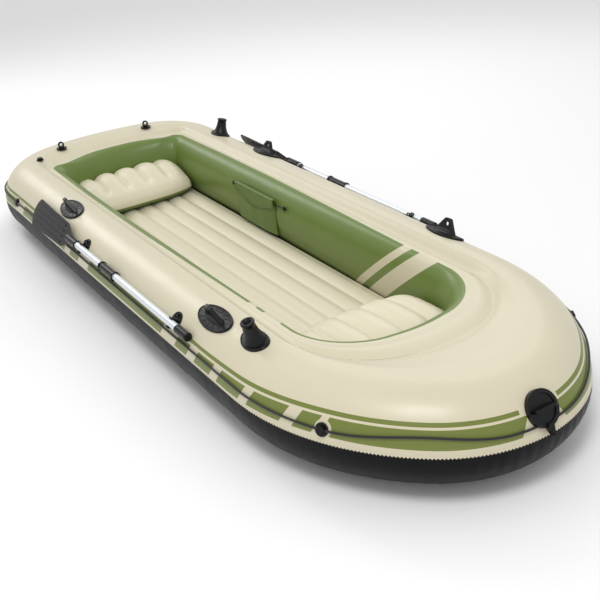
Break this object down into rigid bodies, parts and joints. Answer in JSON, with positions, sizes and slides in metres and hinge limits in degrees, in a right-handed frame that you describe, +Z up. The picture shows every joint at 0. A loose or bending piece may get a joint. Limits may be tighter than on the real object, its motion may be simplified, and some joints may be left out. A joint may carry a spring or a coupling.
{
  "type": "inflatable rowing boat",
  "caption": "Soft inflatable boat with an outer and an inner air chamber, air floor, lobed seat cushions, grab rope, oarlocks, rod holders, side pouch and take-apart oars stowed in clips",
  "frame": {"origin": "on the ground under the middle of the hull", "axes": "+X to the bow, +Y to port, +Z up"},
  "size_m": [3.5121, 1.2978, 0.4283],
  "materials": {
    "beige_vinyl": "satin",
    "black_vinyl": "satin",
    "green_vinyl": "satin",
    "floor_vinyl": "satin",
    "cushion_vinyl": "satin",
    "black_rubber": "satin",
    "black_plastic": "satin",
    "shaft_aluminium": "satin",
    "black_cord": "matte"
  },
  "bodies": {
    "hull": {"outer_chamber": "beige_vinyl", "underside": "black_vinyl", "inner_chamber": "green_vinyl", "floor": "floor_vinyl", "starboard_aft_oarlock": "black_rubber", "starboard_fore_oarlock": "black_rubber", "port_aft_oarlock": "black_rubber", "port_fore_oarlock": "black_rubber", "starboard_rod_holder": "black_rubber", "port_rod_holder": "black_rubber", "starboard_stern_ring": "black_rubber", "port_stern_ring": "black_rubber", "hull_valve": "black_rubber", "grab_rope": "black_cord", "rope_grommets": "black_rubber", "bow_handle": "black_rubber", "starboard_aft_oar_clip": "black_rubber", "starboard_fore_oar_clip": "black_rubber", "port_aft_oar_clip": "black_rubber", "port_fore_oar_clip": "black_rubber", "storage_pouch": "green_vinyl", "pouch_tie_aft": "black_plastic", "pouch_tie_fore": "black_plastic"},
    "stern_seat": {"stern_seat": "cushion_vinyl"},
    "bow_seat": {"bow_seat": "cushion_vinyl"},
    "valve_cap": {"valve_cap": "black_plastic"},
    "pouch_flap": {"pouch_flap": "green_vinyl"},
    "starboard_oar": {"starboard_oar_blade": "black_plastic", "starboard_oar_lower_shaft": "shaft_aluminium", "starboard_oar_joint_sleeve": "black_plastic"},
    "starboard_oar_upper": {"starboard_oar_upper_shaft": "shaft_aluminium", "starboard_oar_grip_cap": "black_plastic"},
    "port_oar": {"port_oar_blade": "black_plastic", "port_oar_lower_shaft": "shaft_aluminium", "port_oar_joint_sleeve": "black_plastic"},
    "port_oar_upper": {"port_oar_upper_shaft": "shaft_aluminium", "port_oar_grip_cap": "black_plastic"}
  },
  "joints": [
    {"name": "starboard_oar_lift", "type": "slide", "parent": "hull", "child": "starboard_oar", "axis": [0, -0.8387, 0.5446], "range_m": [0, 0.25]},
    {"name": "starboard_oar_split", "type": "slide", "parent": "starboard_oar", "child": "starboard_oar_upper", "axis": [1, 0, 0], "range_m": [0, 0.06]},
    {"name": "port_oar_lift", "type": "slide", "parent": "hull", "child": "port_oar", "axis": [0, 0.8387, 0.5446], "range_m": [0, 0.25]},
    {"name": "port_oar_split", "type": "slide", "parent": "port_oar", "child": "port_oar_upper", "axis": [1, 0, 0], "range_m": [0, 0.06]},
    {"name": "stern_seat_lift", "type": "slide", "parent": "hull", "child": "stern_seat", "axis": [0, 0, 1], "range_m": [0, 0.3]},
    {"name": "bow_seat_lift", "type": "slide", "parent": "hull", "child": "bow_seat", "axis": [0, 0, 1], "range_m": [0, 0.3]},
    {"name": "valve_cap_lift", "type": "slide", "parent": "hull", "child": "valve_cap", "axis": [0, 0, 1], "range_m": [0, 0.03]},
    {"name": "pouch_flap_hinge", "type": "hinge", "parent": "hull", "child": "pouch_flap", "pos_m": [-0.4, 0.2997, 0.2715], "axis": [-1, 0, 0], "range_deg": [0, 110]}
  ]
}
